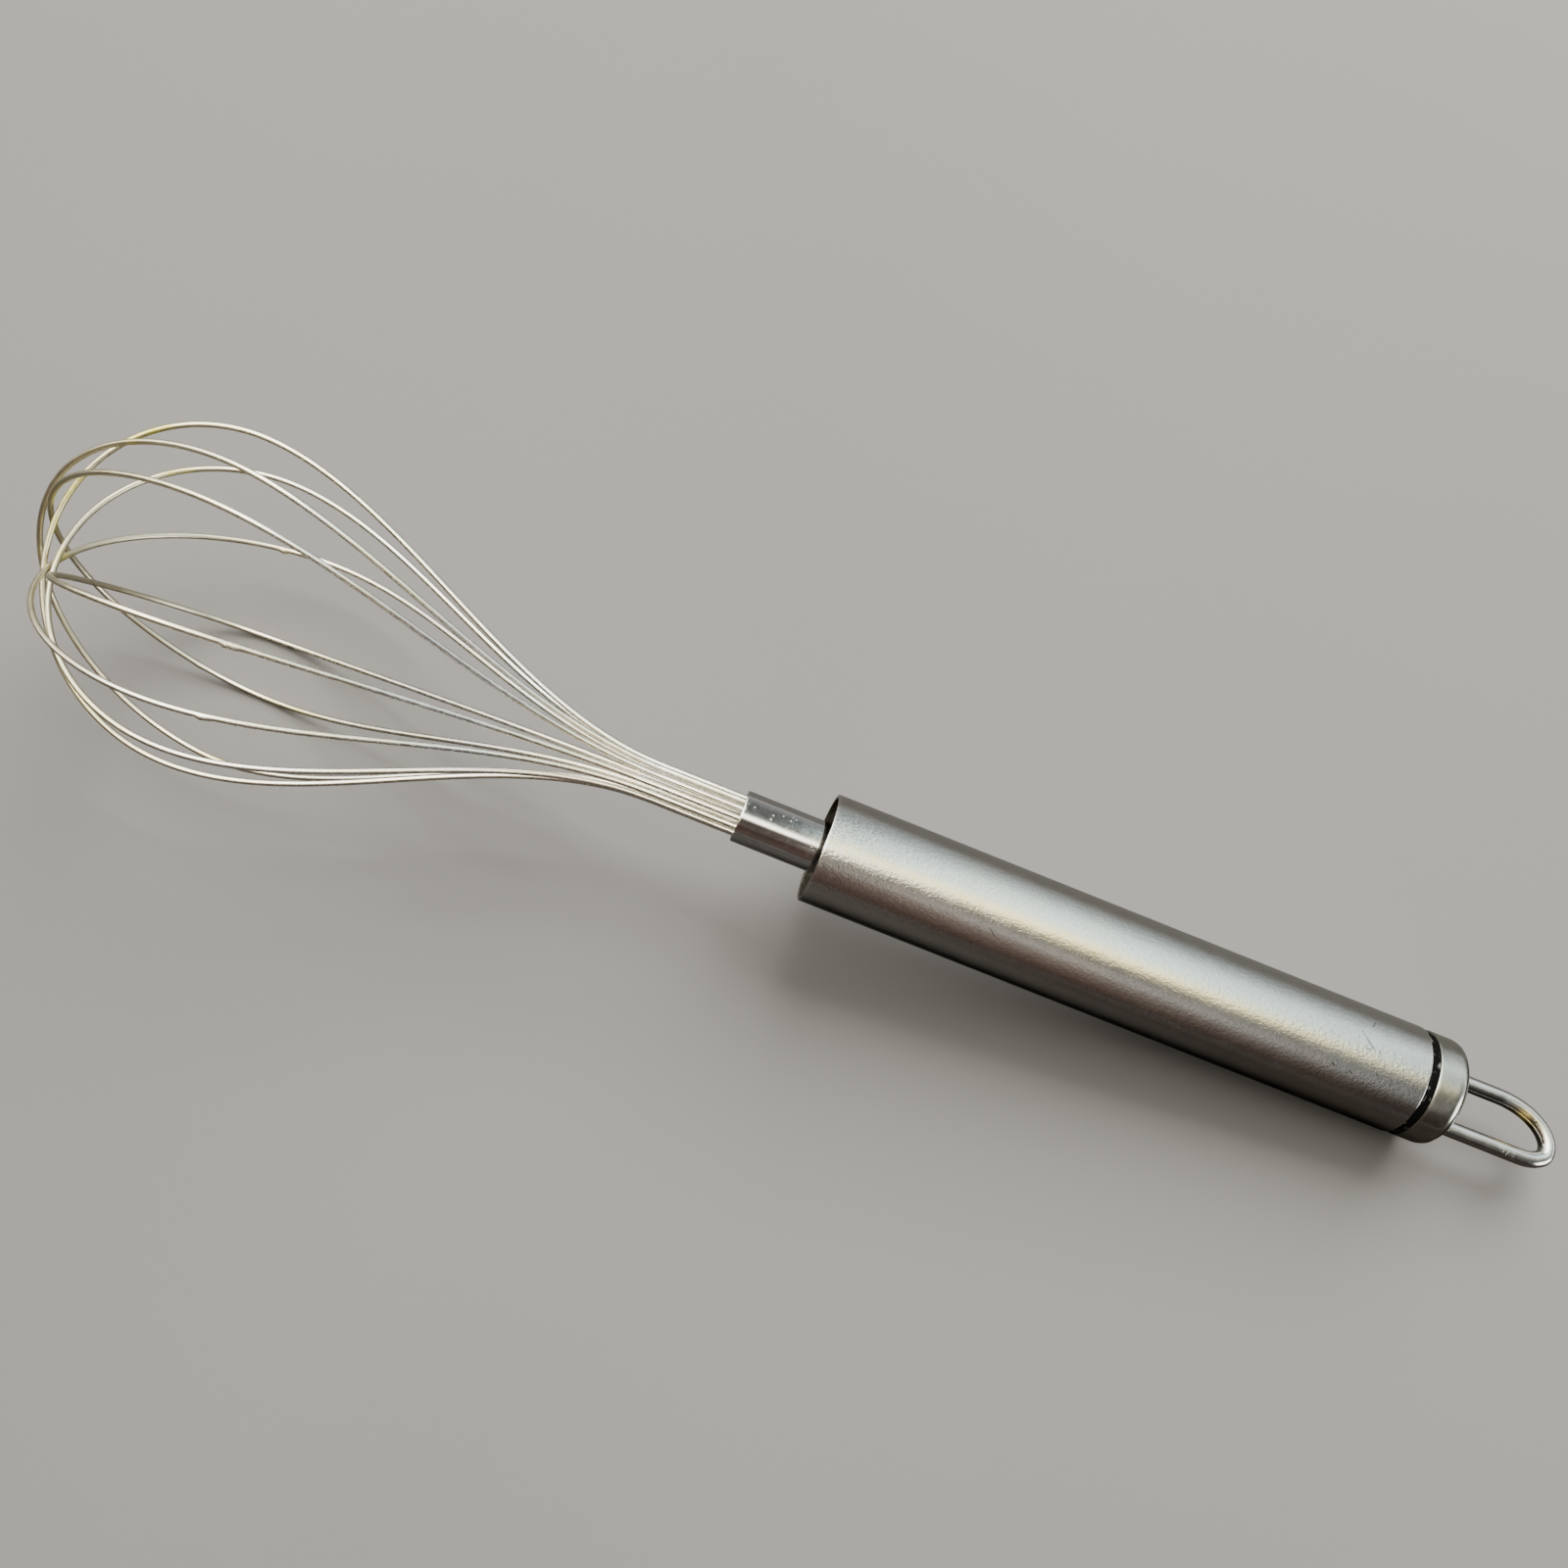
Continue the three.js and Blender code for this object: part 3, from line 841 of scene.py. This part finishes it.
# The lines of the bores that the loop's legs go through, from just past each leg's end.
BORE_GAP = 0.22
BORE = centre_line("hanging_loop", -1)[1] + BORE_GAP
BORE_START, BORE_LENGTH = 0.5, 26.0
STRAIGHT_POINTS = 10  # points of the loop's path that are surely in a leg's straight part
leg_lines = []
for leg in (loop_path, loop_path[::-1]):
    heading = leg[STRAIGHT_POINTS] - leg[0]
    heading /= np.linalg.norm(heading)
    leg_lines.append((leg[0] - heading * BORE_START, leg[0] + heading * BORE_LENGTH))

# The end plug: a stem in the handle, and the black collar that shows.
plug = stations("end_plug")
PLUG_START, PLUG_END = plug[0][0], plug[-1][0]
COLLAR_SLACK, STEM_SLACK = 0.05, 0.5
COLLAR_RADIUS = max(s[2] for s in plug)
COLLAR_START = min(s[0] for s in plug if s[2] > COLLAR_RADIUS - COLLAR_SLACK)
STEM_RADIUS = max(s[2] for s in plug if s[0] < COLLAR_START - STEM_SLACK)
STEM_EDGE, STEM_LAP = 0.4, 0.1
EASE = 0.25
stem_from = (PLUG_START + STEM_EDGE, STEM_RADIUS)
collar_from, collar_to = (COLLAR_START + EASE, COLLAR_RADIUS), (PLUG_END - EASE, COLLAR_RADIUS)
plug_outline = [(PLUG_START, 0.0), (PLUG_START, STEM_RADIUS - STEM_EDGE - STEM_LAP)]
plug_outline += corner(PLUG_START + STEM_EDGE, STEM_RADIUS - STEM_EDGE, 180, 90, STEM_EDGE)
plug_outline += straight(stem_from, (COLLAR_START, STEM_RADIUS), 2.0)
plug_outline += [(COLLAR_START, STEM_RADIUS)]
plug_outline += corner(COLLAR_START + EASE, COLLAR_RADIUS - EASE, 180, 90, EASE)
plug_outline += straight(collar_from, collar_to, 0.4)
plug_outline += corner(PLUG_END - EASE, COLLAR_RADIUS - EASE, 90, 0, EASE)
plug_outline += [(PLUG_END, 0.0)]
plug_blank = mesh_of("end_collar", *turned(plug_outline, 128))
plug_mesh = with_bores("end_collar", plug_blank, leg_lines, BORE)
placed("end_collar", plug_mesh, black_plastic(), ["end_plug"])

# The end cap: a shell with a wide rounded shoulder.
cap = stations("end_cap")
CAP_START, CAP_END = cap[0][0], cap[-1][0]
CAP_OUTER, CAP_FACE = max(s[2] for s in cap), cap[-1][2]
CAP_WALL, CAP_EDGE = 0.8, 0.25
CAP_INNER = CAP_OUTER - CAP_WALL
FLOOR_X = CAP_END - CAP_WALL
SHOULDER = CAP_OUTER - CAP_FACE
SHOULDER_X = CAP_END - SHOULDER
cap_outline = corner(CAP_START + CAP_EDGE, CAP_OUTER - CAP_EDGE, 180, 90, CAP_EDGE)
cap_outline += straight((CAP_START + CAP_EDGE, CAP_OUTER), (SHOULDER_X, CAP_OUTER), 0.5)
cap_outline += corner(SHOULDER_X, CAP_FACE, 90, 0, SHOULDER, 20)
cap_outline += straight((CAP_END, CAP_FACE), (CAP_END, 0.0), 1.0) + [(CAP_END, 0.0)]
cap_outline += [(FLOOR_X, 0.0)] + straight((FLOOR_X, 0.0), (FLOOR_X, CAP_FACE), 1.0)
cap_outline += corner(SHOULDER_X, CAP_FACE, 0, 90, SHOULDER - CAP_WALL, 12)
cap_outline += straight((SHOULDER_X, CAP_INNER), (CAP_START + CAP_EDGE, CAP_INNER), 1.0)
cap_outline += corner(CAP_START + CAP_EDGE, CAP_INNER + CAP_EDGE, -90, -180, CAP_EDGE)
cap_blank = mesh_of("cap", *turned(cap_outline, 160))
cap_mesh = with_bores("cap", cap_blank, leg_lines, BORE)
GLINT_SHARE = 0.6  # where on the shoulder the painted highlight lies, from its face outwards
cap_look = cap_steel(CAP_END, CAP_FACE + GLINT_SHARE * SHOULDER)
placed("cap", cap_mesh, cap_look, ["end_cap"])


# ---------------------------------------------------------------- floor, light and camera


FLOOR_HALF = 4000.0
FADE_START, FADE_FULL = 450.0, 1900.0
CARD_DROP = 0.02 * MM
BACKDROP_TONE = rgb(0.46, 0.45, 0.435)


def floor_plane(name, dark, light, gloss, share=None):
    """A wide plain floor between two tones, mixed by a slow drift or by share(nodes, place).

    Far from the whisk it glows with the backdrop's tone, so that no horizon shows.
    """
    made, n, p = material(name)
    share = share(n, p) if share else n.line(n.noise(p, 0.004, 3.0), 0.3, 0.7)
    base = n.mix(share, rgb(*dark), rgb(*light))
    away = n.add("VectorMath", {0: p}, operation="LENGTH", output=1)
    far = n.step(away, FADE_START, FADE_FULL)
    looks = {"Base Color": n.mix(far, base, rgb(0.0, 0.0, 0.0)), "Roughness": 0.75}
    looks["Specular IOR Level"] = n.math("MULTIPLY_ADD", far, -gloss, gloss)
    looks["Emission Color"] = BACKDROP_TONE
    looks["Emission Strength"] = far
    n.finish(looks)
    corners = [(-1, -1), (1, -1), (1, 1), (-1, 1)]
    square = [(x * FLOOR_HALF, y * FLOOR_HALF, 0.0) for x, y in corners]
    mesh = mesh_of(name, square, [(0, 1, 2, 3)])
    mesh.materials.append(made)
    obj = added(name, mesh)
    return obj


def card_share(n, p):
    """Painted shade and light in the steel's reflections: the card is light on the whisk's +Y side
    and under the handle's first half, and dark on its -Y side, where the handle's shadow falls.
    """
    beside = n.step(n.part(p, 1), -8.0, 14.0)
    return n.math("MAXIMUM", beside, n.line(n.part(p, 0), 20.0, 115.0, 0.50, 0.0))


# The pale floor that is seen, and the darker one that the steel reflects, as a black card
# under a metal object gives it dark edges in a studio.
seen_floor = floor_plane("floor", (0.42, 0.405, 0.385), (0.44, 0.425, 0.405), 0.25)
seen_floor.visible_glossy = False
seen_floor.visible_shadow = False
card = floor_plane("floor_card", (0.073, 0.060, 0.050), (0.250, 0.237, 0.217), 0.0, card_share)
card.location.z = -CARD_DROP
card.visible_camera = False
card.visible_diffuse = False
card.visible_shadow = False

# The studio sky, seen only in reflections. It has five bands by the way they face along the
# whisk: over the balloon a broad bright one; over the ferrule a narrow strip with a dim room
# round it; over the handle a broad cool panel on the +Y side and a warm strip overhead; over
# the handle's end the cool panel with a grey wall beside it; and over the cap and loop the cool
# panel alone, with a small window past the loop.
# Stops are (degrees from straight up towards -Y, colour).
BALLOON_SKY = [
    (-178.0, (0.20, 0.19, 0.18)),
    (-92.0, (0.70, 0.68, 0.62)),
    (-74.0, (1.90, 1.85, 1.65)),
    (-46.0, (6.80, 6.60, 5.90)),
    (-15.0, (14.0, 13.5, 11.8)),
    (8.0, (13.5, 12.7, 10.5)),
    (24.0, (3.60, 3.20, 2.40)),
    (38.0, (0.80, 0.66, 0.50)),
    (55.0, (0.22, 0.17, 0.135)),
    (80.0, (0.100, 0.070, 0.055)),
    (178.0, (0.06, 0.05, 0.045)),
]
FERRULE_SKY = [
    (-178.0, (0.22, 0.21, 0.20)),
    (-120.0, (0.50, 0.49, 0.47)),
    (-92.0, (0.60, 0.60, 0.58)),
    (-76.0, (0.34, 0.34, 0.33)),
    (-50.0, (0.15, 0.15, 0.145)),
    (-24.0, (0.12, 0.12, 0.115)),
    (-12.0, (0.22, 0.225, 0.22)),
    (-4.0, (1.30, 1.32, 1.22)),
    (5.0, (5.40, 5.30, 4.70)),
    (14.0, (6.20, 5.95, 5.00)),
    (19.0, (0.95, 0.82, 0.66)),
    (26.0, (0.12, 0.095, 0.080)),
    (46.0, (0.15, 0.115, 0.100)),
    (58.0, (0.095, 0.060, 0.048)),
    (80.0, (0.135, 0.095, 0.080)),
    (178.0, (0.12, 0.10, 0.085)),
]
HANDLE_SKY = [
    (-178.0, (0.16, 0.15, 0.14)),
    (-92.0, (0.36, 0.37, 0.36)),
    (-78.0, (0.66, 0.72, 0.71)),
    (-62.0, (1.20, 1.40, 1.36)),
    (-46.0, (2.15, 2.60, 2.46)),
    (-24.0, (2.95, 3.50, 3.26)),
    (-14.0, (3.50, 3.80, 3.10)),
    (-7.0, (4.70, 4.50, 2.60)),
    (-1.0, (5.30, 4.70, 2.10)),
    (5.0, (3.80, 3.10, 1.35)),
    (10.0, (1.30, 1.08, 0.56)),
    (14.0, (0.60, 0.50, 0.31)),
    (18.0, (0.36, 0.31, 0.225)),
    (24.0, (0.25, 0.22, 0.18)),
    (30.0, (0.56, 0.51, 0.45)),
    (36.0, (0.92, 0.84, 0.75)),
    (46.0, (0.43, 0.35, 0.295)),
    (56.0, (0.30, 0.23, 0.188)),
    (67.0, (0.20, 0.138, 0.112)),
    (80.0, (0.085, 0.057, 0.045)),
    (178.0, (0.06, 0.05, 0.045)),
]
HANDLE_END_SKY = [
    (-178.0, (0.11, 0.10, 0.10)),
    (-92.0, (0.26, 0.265, 0.26)),
    (-78.0, (0.50, 0.54, 0.54)),
    (-62.0, (0.90, 1.05, 1.05)),
    (-46.0, (1.60, 1.92, 1.90)),
    (-24.0, (2.15, 2.52, 2.52)),
    (-7.0, (2.25, 2.50, 2.25)),
    (3.0, (1.50, 1.60, 1.45)),
    (12.0, (0.85, 0.88, 0.82)),
    (24.0, (0.60, 0.61, 0.605)),
    (36.0, (0.52, 0.525, 0.53)),
    (47.0, (0.49, 0.49, 0.50)),
    (57.0, (0.14, 0.118, 0.103)),
    (67.0, (0.10, 0.076, 0.064)),
    (80.0, (0.05, 0.036, 0.030)),
    (178.0, (0.04, 0.035, 0.03)),
]
CAP_SKY = [
    (-178.0, (0.14, 0.14, 0.13)),
    (-92.0, (0.48, 0.49, 0.47)),
    (-74.0, (0.84, 0.87, 0.85)),
    (-50.0, (1.80, 1.95, 1.86)),
    (-30.0, (0.95, 0.99, 0.93)),
    (-4.0, (0.33, 0.335, 0.30)),
    (16.0, (0.13, 0.128, 0.110)),
    (36.0, (0.075, 0.073, 0.062)),
    (57.0, (0.036, 0.033, 0.028)),
    (80.0, (0.030, 0.026, 0.022)),
    (178.0, (0.03, 0.026, 0.022)),
]
SKY_PEAK = 14.0  # the brightest colour in the stops

# How far along the whisk a part of the sky lies, from -1 beyond the tip to 1 beyond the loop:
# where each band begins to show, and where it shows in full.
OVER_FERRULE = (-0.07, -0.01)
OVER_HANDLE = (0.085, 0.110)
OVER_HANDLE_END = (0.36, 0.45)
OVER_CAP = (0.455, 0.475)
# The same for the sky's dimming beyond the tip and over the handle, and how dim it gets.
TIP_DIMMING, TIP_SHADE = (-0.85, -0.20), 0.30
HANDLE_DIMMING, HANDLE_SHADE = (0.20, 0.45), 0.68
# The window's direction, and the cosines of the angles off it where it ends and is full.
WINDOW, WINDOW_EDGE, WINDOW_FULL = Vector((0.94, -0.27, 0.20)).normalized(), 0.93, 0.97
WINDOW_TONE = rgb(0.47, 0.47, 0.455)

world = bpy.data.worlds.new("studio")
bpy.context.scene.world = world
world.use_nodes = True
studio = Nodes(world.node_tree)
direction = studio.add("TexCoord", output=0)


def along(axis):
    """How far the sky's direction goes along the axis, from -1 to 1."""
    return studio.add("VectorMath", {0: direction, 1: axis}, operation="DOT_PRODUCT", output=1)


facing, level, upward = (along(WHISK.col[k][:3]) for k in range(3))
angle = studio.math("ARCTAN2", studio.math("MULTIPLY", level, -1.0), upward)
share_round = studio.math("MULTIPLY_ADD", angle, 1 / (2 * math.pi), 0.5)


def sky_band(stops):
    """The band's colour over SKY_PEAK, all the way round the whisk."""
    ramp = world.node_tree.nodes.new("ShaderNodeValToRGB")
    ramp.color_ramp.interpolation = "EASE"
    elements = ramp.color_ramp.elements
    elements.remove(elements[-1])
    for index, (degrees, colour) in enumerate(stops):
        position = degrees / 360 + 0.5
        element = elements[0] if index == 0 else elements.new(position)
        element.position = position
        element.color = tuple(c / SKY_PEAK for c in colour) + (1.0,)
    world.node_tree.links.new(share_round, ramp.inputs[0])
    return ramp.outputs[0]


dimming = studio.step(facing, *HANDLE_DIMMING, 0.0, 1.0 - HANDLE_SHADE)
handle_sky = studio.mix(dimming, sky_band(HANDLE_SKY), rgb(0.0, 0.0, 0.0))
handle_sky = studio.mix(studio.step(facing, *OVER_HANDLE_END), handle_sky, sky_band(HANDLE_END_SKY))
sky = sky_band(BALLOON_SKY)
sky = studio.mix(studio.step(facing, *OVER_FERRULE), sky, sky_band(FERRULE_SKY))
sky = studio.mix(studio.step(facing, *OVER_HANDLE), sky, handle_sky)
sky = studio.mix(studio.step(facing, *OVER_CAP), sky, sky_band(CAP_SKY))
sky = studio.mix(studio.step(along(WINDOW), WINDOW_EDGE, WINDOW_FULL), sky, WINDOW_TONE)
strength = studio.math("MULTIPLY", studio.step(facing, *TIP_DIMMING, TIP_SHADE, 1.0), SKY_PEAK)
background = world.node_tree.nodes.new("ShaderNodeBackground")
world.node_tree.links.new(strength, background.inputs["Strength"])
world.node_tree.links.new(sky, background.inputs["Color"])
world_out = world.node_tree.nodes.new("ShaderNodeOutputWorld")
world.node_tree.links.new(background.outputs[0], world_out.inputs["Surface"])
world.cycles_visibility.diffuse = False

# A plain pale backdrop that only the camera sees, for the views that look over the floor.
BACKDROP_RADIUS = 6.0
backdrop_mesh = bpy.data.meshes.new("backdrop")
bm = bmesh.new()
bmesh.ops.create_icosphere(bm, subdivisions=5, radius=BACKDROP_RADIUS)
bm.to_mesh(backdrop_mesh)
bm.free()
backdrop_look = bpy.data.materials.new("backdrop")
backdrop_look.use_nodes = True
backdrop_nodes = Nodes(backdrop_look.node_tree)
glow = backdrop_nodes.add("Emission", {"Color": BACKDROP_TONE, "Strength": 1.0})
backdrop_out = backdrop_look.node_tree.nodes.new("ShaderNodeOutputMaterial")
backdrop_look.node_tree.links.new(glow, backdrop_out.inputs["Surface"])
backdrop_mesh.materials.append(backdrop_look)
backdrop = added("backdrop", backdrop_mesh)
backdrop.visible_diffuse = False
backdrop.visible_glossy = False
backdrop.visible_transmission = False
backdrop.visible_shadow = False


def way_to(azimuth, elevation):
    """The unit vector to a place seen at these degrees round from -Y towards +X, and up."""
    a, e = math.radians(azimuth), math.radians(elevation)
    return Vector((math.sin(a) * math.cos(e), -math.cos(a) * math.cos(e), math.sin(e)))


def soft_lamp(name, azimuth, elevation, distance, size, power, colour):
    """A square area lamp aimed at the whisk that lights the floor but isn't reflected."""
    way = way_to(azimuth, elevation)
    data = bpy.data.lights.new(name, "AREA")
    data.shape = "SQUARE"
    data.size = size
    data.energy = power
    data.color = colour
    lamp = added(name, data)
    lamp.location = way * distance
    lamp.rotation_mode = "QUATERNION"
    lamp.rotation_quaternion = way.to_track_quat("Z", "Y")
    lamp.visible_glossy = False
    lamp.visible_camera = False


soft_lamp("key", 172, 42, 2.0, 1.5, 62, (1.0, 0.985, 0.96))
soft_lamp("top", 200, 80, 2.2, 1.6, 12, (1.0, 0.97, 0.93))
soft_lamp("fill", 20, 35, 2.4, 1.8, 4, (1.0, 0.95, 0.90))

# The camera stands nearly above the whisk, leaning 16 degrees towards -Y.
CAMERA_AIM = Vector((-10.419, 15.034, 0.0)) * MM
CAMERA_DISTANCE = 317.53 * MM
CAMERA_AZIMUTH = 5.285
CAMERA_ELEVATION = 73.952
CAMERA_ROLL = 15.37
CAMERA_LENS = 34.264
CAMERA_SENSOR = 36.0

back = way_to(CAMERA_AZIMUTH, CAMERA_ELEVATION)
camera_data = bpy.data.cameras.new("camera")
camera_data.lens = CAMERA_LENS
camera_data.sensor_width = CAMERA_SENSOR
camera_data.clip_start = 0.01
camera_data.clip_end = 20.0
camera = added("camera", camera_data)
turn = (-back).to_track_quat("-Z", "Y").to_matrix()
roll = Matrix.Rotation(math.radians(CAMERA_ROLL), 3, "Z")
camera_place = Matrix.Translation(CAMERA_AIM + back * CAMERA_DISTANCE)
camera.matrix_world = camera_place @ (turn @ roll).to_4x4()
bpy.context.scene.camera = camera
